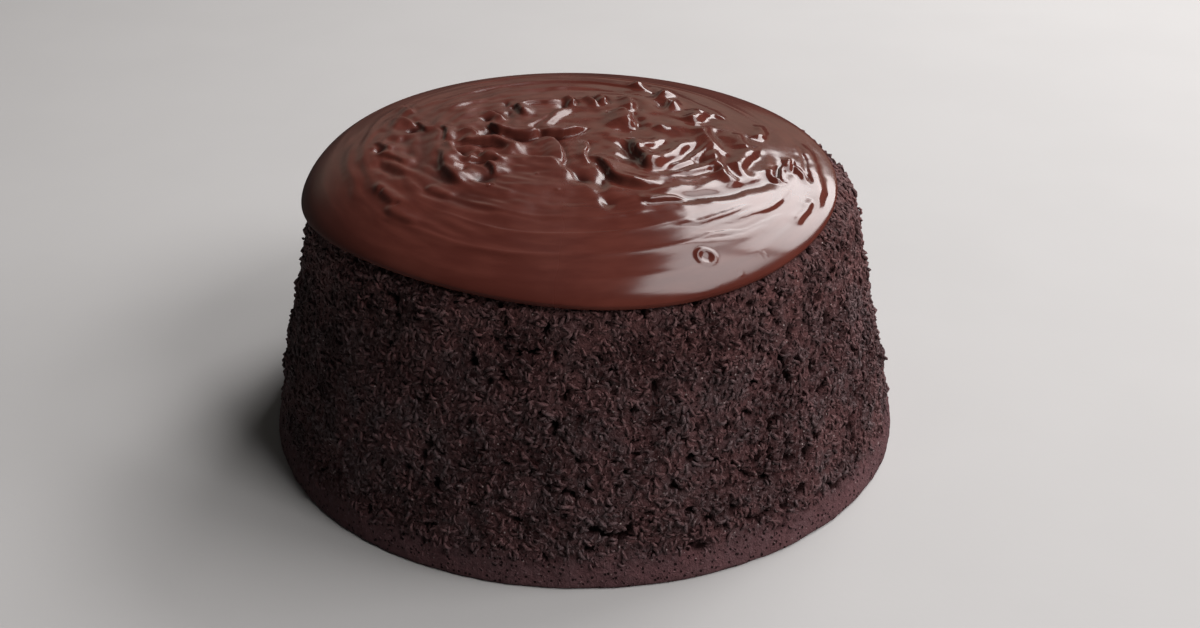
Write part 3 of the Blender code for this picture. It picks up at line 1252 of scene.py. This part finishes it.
@dataclass(frozen=True)
class RoundSweep:
    """A long pull round the icing's edge: radius, direction at its start, and turn in degrees."""

    radius: float
    start: float
    turn: float
    half_width: float = 4.5
    depth: float = 0.4
    lip: float = 0.25

    # Degrees over which a pull dies out
    ENDS = 26.0

    def draw(self, around: np.ndarray, far: np.ndarray, height: np.ndarray) -> np.ndarray:
        """Height after the pull, at directions in degrees and distances from the icing's middle.

        Args:
            around: directions from the icing's middle, in degrees.
            far: distances from it.
            height: of the icing over its dome, before the pull.

        Returns:
            Array of heights.
        """
        travel = (around - self.start) % 360
        last = smoothstep(self.turn - self.ENDS, self.turn, travel)
        ends = smoothstep(0, self.ENDS, travel) * (1.0 - last)
        side = np.abs(far - self.radius) / self.half_width
        inside = (1.0 - smoothstep(0.75, 1.05, side)) * ends
        ridge = np.exp(-(((side - 1.05) * 2.6) ** 2)) * ends
        return height * (1.0 - inside) - self.depth * inside + self.lip * ridge


@dataclass(frozen=True)
class Spot:
    """A small point, or a pit if its rise is negative: place, rise and half widths in millimetres."""

    x: float
    y: float
    rise: float
    half_width: float
    half_depth: float = 0.0

    def at(self, x: np.ndarray, y: np.ndarray) -> np.ndarray:
        """Height that it adds.

        Args:
            x: places from left to right.
            y: places from front to back.

        Returns:
            Array of heights.
        """
        across = (x - self.x) / self.half_width
        back = (y - self.y) / (self.half_depth or self.half_width)
        return self.rise * np.exp(-(across**2) - back**2)


@dataclass(frozen=True)
class Bubble:
    """A burst bubble: place and radius of its ring in millimetres."""

    x: float
    y: float
    radius: float
    rise: float = 0.35

    def at(self, x: np.ndarray, y: np.ndarray) -> np.ndarray:
        """Height that it adds.

        Args:
            x: places from left to right.
            y: places from front to back.

        Returns:
            Array of heights.
        """
        far = np.hypot(x - self.x, y - self.y)
        ring = np.exp(-(((far - self.radius) / (0.28 * self.radius)) ** 2))
        return self.rise * ring - 0.8 * self.rise * np.exp(-((far / (0.7 * self.radius)) ** 2))


MIDDLE_FOLDS = (
    # long smooth strokes that wind round the middle
    Fold(((-44, 26), (-45, 8), (-44, -10), (-40, -26), (-28, -38), (-8, -44)), -0.7, 5.0, 4.0, 0.0),
    Fold(((-34, -30), (-18, -36), (0, -40), (20, -42), (38, -36)), -0.25, 4.5, 4.0, 0.0),
    Fold(((-22, -14), (-10, -18), (-4, -26), (2, -36)), 0.9, 6.0, 2.2, 0.1),
    Fold(((-30, 34), (-10, 38), (10, 39), (24, 36)), -0.35, 3.5, 3.0, 0.0),
    Fold(((12, -41), (23, -38), (36, -32), (48, -23), (54, -10), (53, 6)), -0.7, 3.0, 3.4, 0.0),
    # left edge
    Fold(((-58, -9), (-53, -11), (-49, -14), (-46, -20)), 0.85, 3.0, -1.9),
    Fold(((-57, -13), (-53, -19), (-46, -26)), -0.45, 2.0, 2.0, 0.0),
    Fold(((-55, 17), (-51, 13), (-48, 8)), 0.8, 2.6, 1.6),
    Fold(((-48, 13), (-46, 9), (-44, 4)), 0.8, 2.0, -1.2),
    Fold(((-58, 0), (-55, -4), (-53, -9)), 0.6, 2.2, -1.6),
    Fold(((-60, 12), (-61, -4), (-58, -20), (-51, -36), (-42, -47)), 0.45, 3.6, -2.6, 0.0),
    Fold(((-64, 6), (-65, -6), (-62, -22), (-54, -38)), 0.3, 3.2, -2.4, 0.0),
    Fold(((-56, -26), (-52, -33), (-46, -40)), 0.6, 2.2, -1.7),
    Fold(((-52, -38), (-47, -43), (-42, -47)), 0.55, 2.0, -1.7),
    Fold(((-42, -31), (-38, -34), (-33, -38)), 0.5, 3.0, -1.8),
    Fold(((-56, 30), (-52, 24), (-50, 18)), 0.7, 2.4, 1.6),
    # clump on the left of the middle
    Fold(((-39, -8), (-38, -18), (-35, -26), (-30, -31)), 1.3, 4.0, -1.7, 0.1),
    Fold(((-38, -4), (-36, -11), (-32, -18)), 1.3, 1.8, 1.3),
    Fold(((-36, -4), (-30, -4.5), (-24, -5), (-19, -9)), 1.9, 3.2, -1.7, 0.6),
    Fold(((-34, -18), (-30, -16), (-25, -16), (-21, -19)), 1.2, 2.2, -1.5),
    Fold(((-29, -10), (-27, -14), (-22, -16)), 1.0, 1.6, 1.2),
    Fold(((-26, -18), (-24, -22), (-23, -27)), 1.2, 2.4, -1.2),
    Fold(((-35, 4), (-32, 1), (-29, -3)), 1.2, 2.0, 1.2),
    Fold(((-27, 8), (-25, 4), (-22, 0)), 1.3, 2.0, -1.2),
    Fold(((-40, 8), (-38, 2), (-38, -4)), 0.9, 2.2, -1.2),
    Fold(((-29, 20), (-26, 16), (-23, 11)), 1.0, 2.0, 1.2),
    Fold(((-20, 26), (-18, 21), (-17, 15)), 1.4, 2.4, -1.2),
    Fold(((-40, 20), (-34, 26), (-27, 29)), 0.25, 2.4, -1.4, 0.0),
    Fold(((-20, 24), (-13, 27), (-6, 27)), 0.8, 2.2, -1.3),
    # main folds of the middle
    Fold(((-27, 7), (-22, 2.5), (-16, 1), (-11, 4)), 1.9, 4.0, -2.0, 0.8),
    Fold(((-14, 4), (-9, 2.4), (-4, 3.5), (1, 8)), 1.8, 3.0, -1.6, 0.8),
    Fold(((-17, 4), (-13.5, 11), (-9, 19)), 0.5, 2.2, -1.6, 0.0),
    Fold(((-13, 3), (-9.5, 12), (-6.6, 18), (-5, 24)), 0.8, 1.8, -2.6, 0.0),
    Fold(((-14, 1), (-9, -3), (-6.6, -8), (-6.4, -15), (-6.4, -22)), 1.5, 5.0, 1.2, 0.4),
    Fold(((0.3, -2), (0, -10), (0.5, -20)), 0.7, 1.8, 0.9),
    Fold(((11, 22), (12.2, 14), (13.0, 6)), 2.4, 4.5, 2.4, 0.3),
    Fold(((12, 34), (13.4, 28), (12.8, 21)), 1.4, 2.6, 2.2),
    Fold(((4, 34), (6, 30), (7, 25)), 1.5, 2.2, 1.0),
    Fold(((-5, 31), (-4, 27), (-3, 23)), 1.5, 2.0, 1.0),
    Fold(((0, 32), (2, 28), (5, 23)), 1.2, 1.8, 1.0),
    Fold(((13, 1), (15, -7), (17.6, -16), (20, -22)), 2.1, 3.6, -2.6, 0.5),
    Fold(((22.5, 3), (19, -4), (16.5, -8), (13, -8.5)), 0.65, 1.8, 2.3, 0.0),
    Fold(((30.5, 3), (26.5, -7), (20.6, -16), (16, -20)), 1.1, 2.8, 3.6, 0.0),
    Fold(((35, -1), (32, -9), (26.4, -17), (21, -22)), 0.5, 1.4, 1.6, 0.0),
    Fold(((2, -13), (6, -18), (8, -26), (13, -30), (22, -30)), 1.5, 3.6, -1.6),
    Fold(((22, -24), (30, -20.5), (37, -15)), 0.5, 1.6, -1.6, 0.0),
    Fold(((14, -40), (20, -38.5), (27, -37)), 0.8, 1.6, -1.1),
    # right of the middle
    Fold(((30, 14), (32.5, 19), (35, 25)), 1.6, 3.6, -4.4, 0.2),
    Fold(((34, 15), (34.6, 5), (35.6, -2), (39, -9)), 1.2, 3.4, 2.8, 0.1),
    Fold(((35.6, -3), (36, -12), (37.6, -21), (42, -28)), 0.9, 2.6, 2.4, 0.1),
    Fold(((44.2, 10), (44.4, 2), (45.2, -4)), 0.6, 3.0, 1.6),
    Fold(((49, 3), (45.4, -6), (42.6, -14), (40.5, -23)), 1.1, 3.0, 3.2, 0.0),
    Fold(((51.5, 20), (51.6, 12), (50, 5)), 0.9, 2.2, 2.6, 0.0),
    Fold(((51.6, -12), (51, -18), (54.5, -21)), 1.0, 1.4, 0.9),
    Fold(((53.5, -21), (54, -13), (57, -8.5), (60, -13), (61, -19)), 1.1, 1.5, 0.9),
    Fold(((57.5, -3), (57, -8), (56.4, -13)), 0.9, 1.4, 0.9),
    Fold(((62, 14), (64.2, 3), (65, -9), (64, -22), (60.5, -34)), 1.3, 3.0, 1.8, 0.0),
    Fold(((60, 10), (60.6, 3), (60.8, -8), (60, -16)), 0.35, 1.6, 0.9, 0.0),
    Fold(((26, -54), (42, -47), (55, -34)), 0.2, 2.0, 0.9),
    Fold(((36, -46), (46, -38), (54, -28)), 0.18, 1.8, -0.8),
    Fold(((60.5, -26), (58.6, -34), (54, -42)), 0.6, 2.0, 1.0),
    Fold(((26, -57), (38, -51.5), (50, -42)), 0.2, 1.6, 0.7),
    Fold(((22, -50), (34, -45), (45, -35)), 0.25, 1.5, -0.8),
    Fold(((30, -51), (44, -42), (56, -28)), -0.1, 1.0, 0.7, 0.0),
)

ROUND_SWEEPS = (
    RoundSweep(64, 40, 150, 4.5, 0.15, 0.08),
    RoundSweep(55, 10, 130, 4.5, 0.22, 0.12),
    RoundSweep(46, 50, 100, 3.5, 0.35, 0.22),
    RoundSweep(66, 175, 130, 3.5, 0.12, 0.08),
    RoundSweep(58, 205, 110, 4.0, 0.18, 0.12),
    RoundSweep(51, 215, 90, 3.5, 0.22, 0.15),
    RoundSweep(66, 300, 90, 4.0, 0.15, 0.1),
)

SPOTS = (
    Spot(17, 46, 2.2, 2.0, 3.0),
    Spot(24.6, 38, 1.9, 2.2, 3.6),
    Spot(27, 28, 1.9, 2.2, 3.2),
    Spot(21.5, 40, -0.9, 2.0, 4.0),
    Spot(23, 28, -0.8, 2.0, 4.0),
    Spot(-19, -8.5, 1.7, 2.2, 3.0),
    Spot(22, 8.5, 0.9, 1.4),
    Spot(10.6, 20, 1.0, 1.8),
    Spot(33, 24, 0.8, 1.6),
    Spot(-49, 6.5, -1.0, 1.6),
    Spot(-57, -7, -0.8, 1.5),
    Spot(-33, -22, -1.3, 1.6),
    Spot(-26.5, -28, -1.3, 3.4, 2.2),
    Spot(-28.6, -14, -1.0, 1.5, 2.4),
    Spot(-33, -11.5, -0.9, 2.4, 1.6),
    Spot(-28.5, 13.5, -1.0, 1.3),
    Spot(-23.5, 26, -0.9, 1.1, 2.0),
    Spot(-21.4, 17, -1.0, 1.4, 3.6),
    Spot(-27.6, 2, -0.8, 1.3, 1.8),
    Spot(-9, 0, -1.0, 3.4, 1.8),
    Spot(-19, -2, -0.8, 3.4, 1.8),
    Spot(-6.4, 24, -1.2, 1.6, 2.2),
    Spot(-1.5, -28, -1.2, 2.6, 3.2),
    Spot(4.6, -31, -0.9, 1.8, 4.6),
    Spot(6.4, -41, -0.7, 2.0, 2.8),
    Spot(12, -14, -0.8, 2.2, 5.0),
    Spot(35.2, -19, -0.9, 1.5),
    Spot(32, -13.6, -0.6, 2.4, 1.2),
    Spot(-53.5, -31, -0.5, 0.8, 1.2),
    Spot(-48.4, -38, -0.5, 0.8),
    Spot(-12.7, -26, 0.25, 0.5),
    Spot(-7, -35.6, 0.25, 0.4),
)

BUBBLES = (
    Bubble(30.3, -60.5, 2.2),
    Bubble(38.2, -63, 0.8),
    Bubble(32.6, -67.5, 0.6),
    Bubble(-24.4, -32.6, 0.8),
    Bubble(45, -56, 0.5),
)


@dataclass
class SpreadIcing:
    """The cap of icing.

    Attributes:
        form: smooth outline.
        sponge: what it lies on.
        rings: rings of the upper side.
        inner_share: share of the way to the edge at which the even rings end.
        edge_rings: finer rings from there to the edge.
        lip_rings: rings of the rounded lip.
        roughness: amplitude and size of each layer of unevenness of the middle, in millimetres.
        streaks: depth of the fine streaks round the left side.
        lumps: height of the small lumps of the left side's folds.
        waver: how far the folds stray from their smooth lines, in millimetres.
        winding: how far the round pulls stray from circles, in millimetres.
        highest: most that a fold may stand over the dome, in millimetres.
        deepest: most that a pit may lie under it.
    """

    form: IcingForm
    sponge: SpongeForm
    rings: int = 150
    inner_share: float = 0.93
    edge_rings: int = 12
    lip_rings: int = 12
    roughness: tuple[tuple[float, float], ...] = ((0.50, 10.0), (0.14, 4.5))
    streaks: float = 0.30
    lumps: float = 0.75
    waver: float = 0.9
    winding: float = 1.6
    highest: float = 3.2
    deepest: float = 2.4

    # Size, share and seed of each bend; middle, width and depth of each clump of lumps, and
    # how its lumps are drawn out; distance inwards and points of each ring of the underside
    BENDS = ((7.0, 1.0, 31), (7.0, 1.0, 32), (3.0, 0.22, 33), (3.0, 0.22, 34))
    CLUMPS = ((-29.0, 10.0, 17.0), (-52.0, 6.0, 22.0))
    CLUMP_PLACES = np.array([[1.0, 0, 0], [0.3, 0.6, 0]])
    INSETS = ((40.0, 60), (13.0, 180), (8.0, 360), (5.2, 450), (2.8, 900), (1.2, 900))

    def stray(self, flat: np.ndarray) -> np.ndarray:
        """Where each place lies once the folds' lines are bent, in millimetres, seen from above.

        Args:
            flat: places, with a height of 0.

        Returns:
            Array of shape (n, 2).
        """
        bends = [Grain(size, seed).at(flat) * self.waver * share for size, share, seed in self.BENDS]
        return np.stack([flat[:, 0] + bends[0] + bends[2], flat[:, 1] + bends[1] + bends[3]], 1)

    def folds(self, x: np.ndarray, y: np.ndarray) -> np.ndarray:
        """Shift of the spread icing from its dome, at places in millimetres.

        Args:
            x: places from left to right.
            y: places from front to back.

        Returns:
            Array of shape (n, 3).
        """
        flat = np.stack([x, y, 0 * x], 1)
        far = np.hypot(x - self.form.centre[0], y - self.form.centre[1])
        around = np.degrees(np.arctan2(y - self.form.centre[1], x - self.form.centre[0]))
        shift = np.zeros((len(x), 3))
        wound = far + self.winding * Grain(28.0, 30).at(flat)
        for sweep in ROUND_SWEEPS:
            shift[:, 2] = sweep.draw(around, wound, shift[:, 2])
        places = self.stray(flat)
        for fold in MIDDLE_FOLDS:
            fold.raise_icing(places, shift)
        rise = shift[:, 2]
        middle = 1.0 - smoothstep(38.0, 60.0, far)
        for number, (amplitude, size) in enumerate(self.roughness):
            rise += amplitude * middle * Grain(size, 35 + number).at(flat)
        turn = np.radians(around)
        left = (1.0 - smoothstep(-24.0, 4.0, x)) * (1.0 - smoothstep(58.0, 68.0, far))
        pulled = np.stack([wound, 14.0 * np.cos(turn), 14.0 * np.sin(turn)], 1)
        rise += self.streaks * left * Grain(2.6, 38).at(pulled)
        for centre, width, depth in self.CLUMPS:
            clump = np.exp(-(((x - centre) / width) ** 4) - ((y + 7.0) / depth) ** 4)
            rise += self.lumps * clump * Grain(4.2, 39).at(places @ self.CLUMP_PLACES)
        for spot in SPOTS:
            rise += spot.at(places[:, 0], places[:, 1])
        for bubble in BUBBLES:
            rise += bubble.at(x, y)
        limit = np.where(rise > 0, self.highest, self.deepest)
        shift[:, 2] = limit * np.tanh(rise / limit)
        return shift

    def upper_side(self) -> list[tuple[np.ndarray, np.ndarray]]:
        """Rings of the folded upper side, from its edge to its middle, and the rise of each point.

        Returns:
            For each ring an array of shape (n, 3) and one of n rises.
        """
        edge = 1.0 - self.inner_share
        turns = [0.5 * math.pi * step / self.edge_rings for step in range(self.edge_rings + 1)]
        shares = [(6 * self.rings, self.inner_share + edge * math.cos(turn)) for turn in turns]
        inner = range(self.rings - 1, 0, -1)
        shares += [(6 * ring, self.inner_share * ring / self.rings) for ring in inner]
        shares.append((1, 0.0))
        rings = [self.form.dome_ring(self.sponge, ring_angles(count), share) for count, share in shares]
        hold = np.concatenate([np.full(count, 1.0 - share**12) for count, share in shares])
        points = np.vstack(rings)
        shift = hold[:, None] * self.folds(points[:, 0], points[:, 1])
        ends = np.cumsum([count for count, _ in shares])[:-1]
        return list(zip(np.split(points + shift, ends), np.split(shift[:, 2], ends)))

    def build(self) -> bpy.types.Mesh:
        """Make the closed mesh, from the middle of the underside round the lip to the top.

        Returns:
            The mesh, in metres, with each point's rise.
        """
        skin = Skin()
        count = 6 * self.rings
        middle = np.array([[*self.form.centre, self.sponge.height + self.form.clearance]])
        skin.ring(middle)
        for inset, number in self.INSETS:
            skin.ring(self.form.edge_ring(self.sponge, ring_angles(number), inset, 0.0))
        for step in range(self.lip_rings):
            skin.ring(self.form.edge_ring(self.sponge, ring_angles(count), 0.0, step / self.lip_rings))
        rises = np.zeros(len(skin.points))
        for ring, rise in self.upper_side():
            skin.ring(ring)
            rises = np.concatenate([rises, rise])
        mesh = skin.mesh("spread_icing")
        mesh.attributes.new("rise", "FLOAT", "POINT").data.foreach_set("value", rises.astype(np.float32))
        return mesh


# Studio


@dataclass(frozen=True)
class Lamp:
    """A soft rectangular light that faces the cake.

    Attributes:
        name: of the light.
        way: direction from +X and height above the horizon, in degrees.
        far: distance from the cake, in metres.
        size: width and height, in metres.
        power: in watts.
        mirrored: whether glossy surfaces show it.
        roll: its turn about the line to the cake, in degrees.
        tint: colour of the light.
    """

    name: str
    way: tuple[float, float]
    far: float
    size: tuple[float, float]
    power: float
    mirrored: bool = False
    roll: float = 0.0
    tint: Colour = (1.0, 0.97, 0.965)

    AIM = Vector((0.0, 0.0, 0.08))

    def hang(self) -> None:
        """Put the light into the scene."""
        light = bpy.data.lights.new(self.name, "AREA")
        light.shape = "RECTANGLE"
        light.size, light.size_y = self.size
        light.energy = self.power
        light.color = self.tint
        lamp = bpy.data.objects.new(self.name, light)
        turn, rise = (math.radians(angle) for angle in self.way)
        ahead = Vector((math.cos(rise) * math.cos(turn), math.cos(rise) * math.sin(turn), math.sin(rise)))
        lamp.location = ahead * self.far + self.AIM
        spin = Quaternion((0.0, 0.0, 1.0), math.radians(self.roll))
        lamp.rotation_euler = (ahead.to_track_quat("Z", "Y") @ spin).to_euler()
        lamp.visible_glossy = self.mirrored
        bpy.context.scene.collection.objects.link(lamp)


@dataclass
class Studio:
    """Floor, lights and camera, in metres.

    Attributes:
        eye: where the camera stands.
        tilt: its turn about X, Y and Z, in degrees.
        focal: focal length over the sensor's width.
        floor_half: half of the floor's width.
        lamps: the lights: a tall window in two parts, three fills and a dim back wall.
        surroundings: colour of the light from all round.
        surroundings_strength: of that light.
    """

    eye: tuple[float, float, float] = (0.0, -0.39874, 0.24704)
    tilt: tuple[float, float, float] = (61.38, 0.0, -0.656)
    focal: float = 1523 / 1200
    floor_half: float = 4.0
    lamps: tuple[Lamp, ...] = (
        Lamp("window_low", (61.2, 36.8), 1.314, (0.48, 0.746), 7.0, True, 27.1),
        Lamp("window_high", (24.1, 64.3), 1.512, (0.48, 0.887), 6.4, True, 56.9),
        Lamp("window_fill", (42.0, 42.0), 1.4, (0.45, 0.45), 7.0),
        Lamp("side_fill", (-5.0, 30.0), 1.5, (0.8, 0.7), 12.0),
        Lamp("front_fill", (-38.0, 42.0), 1.5, (0.5, 0.5), 9.8),
        Lamp("back_wall", (95.0, 15.0), 1.8, (2.6, 0.6), 1.2, True, tint=(1.0, 0.93, 0.76)),
    )
    surroundings: Colour = (0.62, 0.60, 0.58)
    surroundings_strength: float = 0.055

    def floor(self) -> None:
        """Lay the pale floor."""
        mesh = bpy.data.meshes.new("floor")
        sides = ((-1, -1), (1, -1), (1, 1), (-1, 1))
        corners = [(x * self.floor_half, y * self.floor_half, 0.0) for x, y in sides]
        mesh.from_pydata(corners, [], [(0, 1, 2, 3)])
        floor = link_piece("floor", mesh, FloorFinish().material())
        floor.visible_glossy = False

    def camera(self) -> None:
        """Stand the camera at the photo's viewpoint."""
        lens = bpy.data.cameras.new("camera")
        lens.sensor_width = 36.0
        lens.lens = self.focal * lens.sensor_width
        camera = bpy.data.objects.new("camera", lens)
        camera.location = self.eye
        camera.rotation_euler = Euler([math.radians(angle) for angle in self.tilt])
        bpy.context.scene.collection.objects.link(camera)
        bpy.context.scene.camera = camera

    def build(self) -> None:
        """Set up the floor, the camera, the lights and the surroundings."""
        self.floor()
        self.camera()
        for lamp in self.lamps:
            lamp.hang()
        world = bpy.data.worlds.new("surroundings")
        world.use_nodes = True
        background = world.node_tree.nodes["Background"]
        background.inputs["Color"].default_value = (*self.surroundings, 1.0)
        background.inputs["Strength"].default_value = self.surroundings_strength
        bpy.context.scene.world = world
        bpy.context.scene.view_settings.view_transform = "Standard"


CRUMB_KINDS = (
    CrumbKind("crumbs_long", 3.0, 0.94, 0.60, 2.3, 6, 0.22, 3),
    CrumbKind("crumbs_curled", 2.5, 0.86, 0.95, 2.2, 7, 0.17, 15),
    CrumbKind("crumbs_thick", 1.9, 1.05, 0.25, 2.2, 9, 0.26, 8),
    CrumbKind("crumbs_thin", 2.2, 0.68, 0.50, 2.2, 10, 0.08, 27),
    CrumbKind("crumbs_fine", 1.2, 0.56, 0.15, 1.7, 16, 0.14, 21, "fine"),
)


def main() -> None:
    """Build the cake and the studio, and report each piece."""
    logging.basicConfig(level=logging.INFO, format="%(name)s: %(message)s")
    Studio().build()
    sponge_form, icing_form = SpongeForm(), IcingForm()
    sponge_mesh = SpongeCake(sponge_form, icing_form).build()
    scatter = ScatterTree("scatter_crumbs")
    crumb_finish = RIDGES.material()
    for kind in CRUMB_KINDS:
        hand_over(scatter.lay(kind, sponge_mesh, crumb_finish), "sponge")
    sponge = link_piece("sponge_crumb", sponge_mesh, SHADED_SKIN.material())
    hand_over(sponge, "sponge")
    icing_mesh = SpreadIcing(icing_form, sponge_form).build()
    hand_over(link_piece("spread_icing", icing_mesh, IcingFinish().material()), "icing")


if __name__ == "__main__":
    main()
